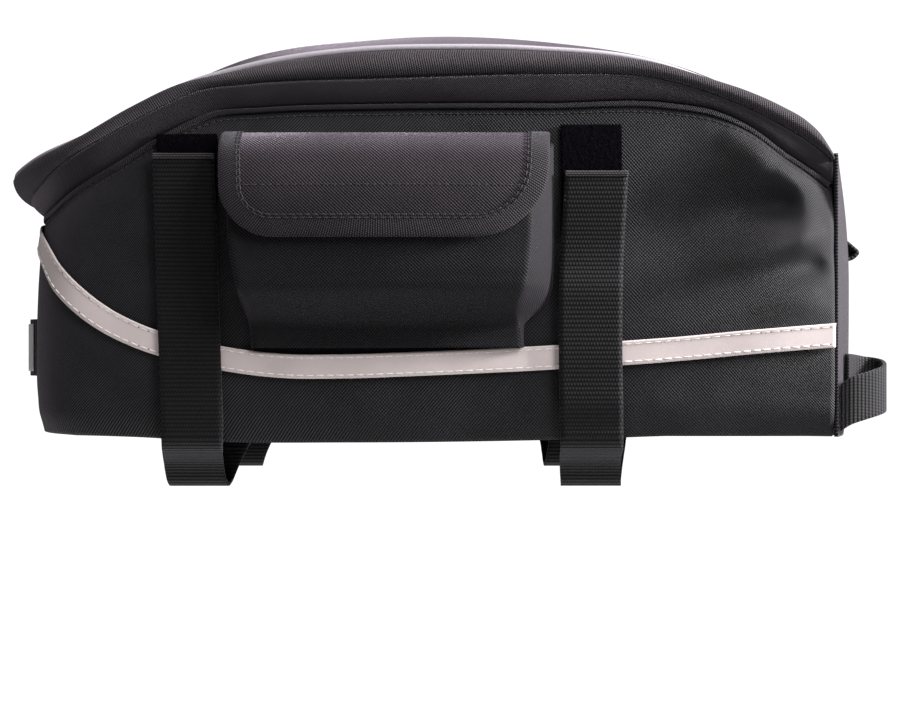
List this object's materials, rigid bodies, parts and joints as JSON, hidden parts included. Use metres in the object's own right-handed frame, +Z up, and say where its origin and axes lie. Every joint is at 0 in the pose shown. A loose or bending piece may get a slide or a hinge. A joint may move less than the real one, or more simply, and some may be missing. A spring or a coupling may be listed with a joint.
{
  "type": "bicycle rack bag",
  "caption": "Soft nylon bag for the top of a bicycle rack, with a domed zipped lid, flapped side pockets, reflective trim and straps that wrap round the rack's rails.",
  "frame": {"origin": "middle of the underside of the bag's stiff base, where it rests on the rack's top", "axes": "+X forward to the saddle end, +Y to the bag's left, +Z up"},
  "size_m": [0.3778, 0.2358, 0.1978],
  "materials": {
    "nylon": "woven nylon, satin",
    "crown_nylon": "woven nylon, satin",
    "base_nylon": "coated cloth over a stiffener, dull",
    "zip_tape": "woven tape, dull",
    "zip_coil": "moulded coil, low gloss",
    "zip_metal": "black painted, satin",
    "reflective": "retroreflective tape, satin",
    "piping": "retroreflective piping, satin",
    "binding": "grosgrain, dull",
    "webbing": "ribbed webbing, dull",
    "loop_pile": "loop pile, dull"
  },
  "bodies": {
    "root": {"side_panel_right": "nylon", "side_panel_left": "nylon", "rear_panel": "nylon", "base_panel": "base_nylon", "front_panel": "nylon", "lid_crown": "crown_nylon", "lid_piping": "piping", "zip_tape_upper": "zip_tape", "zip_tape_lower": "zip_tape", "zip_coil": "zip_coil", "zip_slider": "zip_metal", "reflective_tape": "reflective", "light_loop": "webbing", "light_loop_tape": "reflective", "front_loop": "webbing", "pocket_right": "nylon", "flap_right": "nylon", "flap_binding_right": "binding", "front_strap_right": "webbing", "loop_patch_rear_right": "loop_pile", "strap_rear_right": "webbing", "loop_patch_front_right": "loop_pile", "strap_front_right": "webbing", "pocket_left": "nylon", "flap_left": "nylon", "flap_binding_left": "binding", "front_strap_left": "webbing", "loop_patch_rear_left": "loop_pile", "strap_rear_left": "webbing", "loop_patch_front_left": "loop_pile", "strap_front_left": "webbing"}
  },
  "joints": []
}
